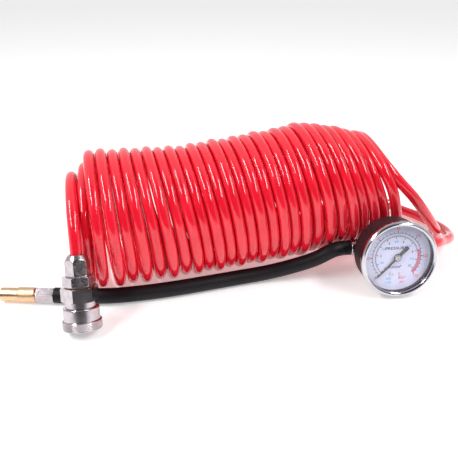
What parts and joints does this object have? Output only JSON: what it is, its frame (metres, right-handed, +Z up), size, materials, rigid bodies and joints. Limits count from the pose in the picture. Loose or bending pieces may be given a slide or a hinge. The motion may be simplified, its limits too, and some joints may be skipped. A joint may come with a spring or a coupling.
{
  "type": "recoil air hose line",
  "caption": "Coiled air line lying on its side with a quick coupler at one end and, at the other, a tee with a dial gauge and a short rubber hose with a screw-on tyre chuck.",
  "frame": {"origin": "on the surface that the line lies on, at the middle of the box around the fittings: the coupler, the gauge with its tee, and the chuck", "axes": "+X along the coil from the coupler's end to the gauge's end, +Y from the gauge's face towards the back, +Z up"},
  "size_m": [0.3618, 0.1456, 0.1037],
  "materials": {
    "red_hose": "glossy translucent polyurethane",
    "black_rubber": "satin",
    "seal_rubber": "matte",
    "chrome": "polished nickel plate",
    "bezel_chrome": "polished",
    "steel": "bright steel",
    "fibre": "fibre washer",
    "brass": "satin",
    "case_black": "satin black paint",
    "lens": "clear",
    "dial_print": "white with printed scales",
    "needle_black": "matte black"
  },
  "bodies": {
    "line": {"recoil_coil": "red_hose", "hose_tail_left": "red_hose", "hose_tail_right": "red_hose", "black_hose": "black_rubber", "compression_nut": "chrome", "hose_adapter": "chrome", "adapter_washer": "fibre", "coupler_body": "chrome", "sleeve_spring": "steel", "retaining_ring": "steel", "plug_seal": "seal_rubber", "valve_spring": "steel", "gauge_case": "case_black", "gauge_bezel": "bezel_chrome", "lens_gasket": "seal_rubber", "gauge_lens": "lens", "gauge_dial": "dial_print", "dial_screw_1": "steel", "dial_screw_2": "steel", "needle_stop": "steel", "movement_plate_front": "brass", "movement_plate_back": "brass", "movement_pillars": "brass", "bourdon_tube": "brass", "gauge_socket": "brass", "tee_body": "chrome", "tee_hose_nut": "chrome", "tee_ferrule": "chrome", "chuck_ferrule": "chrome", "chuck_stem": "brass", "chuck_washer": "seal_rubber", "valve_depressor": "brass"},
    "sleeve": {"coupler_sleeve": "chrome"},
    "lock_ball_1": {"lock_ball_1": "steel"},
    "lock_ball_2": {"lock_ball_2": "steel"},
    "lock_ball_3": {"lock_ball_3": "steel"},
    "lock_ball_4": {"lock_ball_4": "steel"},
    "valve": {"valve_poppet": "brass", "valve_seal": "seal_rubber"},
    "needle": {"gauge_needle": "needle_black", "needle_hub": "brass", "pinion_arbor": "brass", "hairspring": "brass"},
    "sector": {"sector_gear": "brass"},
    "link": {"tip_link": "brass"},
    "chuck": {"chuck_body": "brass"}
  },
  "joints": [
    {"name": "sleeve_slide", "type": "slide", "parent": "line", "child": "sleeve", "axis": [0.0297, 0.3256, 0.9451], "range_m": [0, 0.0035], "stiffness_N_per_m": 1500, "springref_m": -0.003, "deforming": ["sleeve_spring"]},
    {"name": "lock_ball_1_slide", "type": "slide", "parent": "line", "child": "lock_ball_1", "axis": [0.6995, 0.6686, -0.2523], "range_m": [0, 0.0007]},
    {"name": "lock_ball_2_slide", "type": "slide", "parent": "line", "child": "lock_ball_2", "axis": [-0.714, 0.6686, -0.2079], "range_m": [0, 0.0007]},
    {"name": "lock_ball_3_slide", "type": "slide", "parent": "line", "child": "lock_ball_3", "axis": [-0.6995, -0.6686, 0.2523], "range_m": [0, 0.0007]},
    {"name": "lock_ball_4_slide", "type": "slide", "parent": "line", "child": "lock_ball_4", "axis": [0.714, -0.6686, 0.2079], "range_m": [0, 0.0007]},
    {"name": "valve_slide", "type": "slide", "parent": "line", "child": "valve", "axis": [0.0297, 0.3256, 0.9451], "range_m": [0, 0.002], "stiffness_N_per_m": 300, "springref_m": -0.003, "deforming": ["valve_spring"]},
    {"name": "sector_turn", "type": "hinge", "parent": "line", "child": "sector", "pos_m": [0.12421, -0.01029, 0.01088], "axis": [-0.1418, -0.9717, 0.1891], "range_deg": [0, 38.57], "stiffness_Nm_per_rad": 0.01, "springref_deg": -5.73},
    {"name": "needle_turn", "type": "hinge", "parent": "line", "child": "needle", "pos_m": [0.1246, -0.0076, 0.02502], "axis": [-0.1418, -0.9717, 0.1891], "range_deg": [-270, 0]},
    {"name": "tip_link_turn", "type": "hinge", "parent": "sector", "child": "link", "pos_m": [0.12004, -0.0094, 0.01234], "axis": [-0.1418, -0.9717, 0.1891], "range_deg": [-38.57, 0]},
    {"name": "chuck_swivel", "type": "hinge", "parent": "line", "child": "chuck", "pos_m": [-0.14064, 0.03064, 0.0057], "axis": [0.9583, -0.2857, 0], "continuous": true}
  ],
  "couplings": [
    {"joint": "lock_ball_1_slide", "follows": "sleeve_slide", "ratio": 0.2},
    {"joint": "lock_ball_2_slide", "follows": "sleeve_slide", "ratio": 0.2},
    {"joint": "lock_ball_3_slide", "follows": "sleeve_slide", "ratio": 0.2},
    {"joint": "lock_ball_4_slide", "follows": "sleeve_slide", "ratio": 0.2},
    {"joint": "needle_turn", "follows": "sector_turn", "ratio": -7},
    {"joint": "tip_link_turn", "follows": "sector_turn", "ratio": -1}
  ]
}
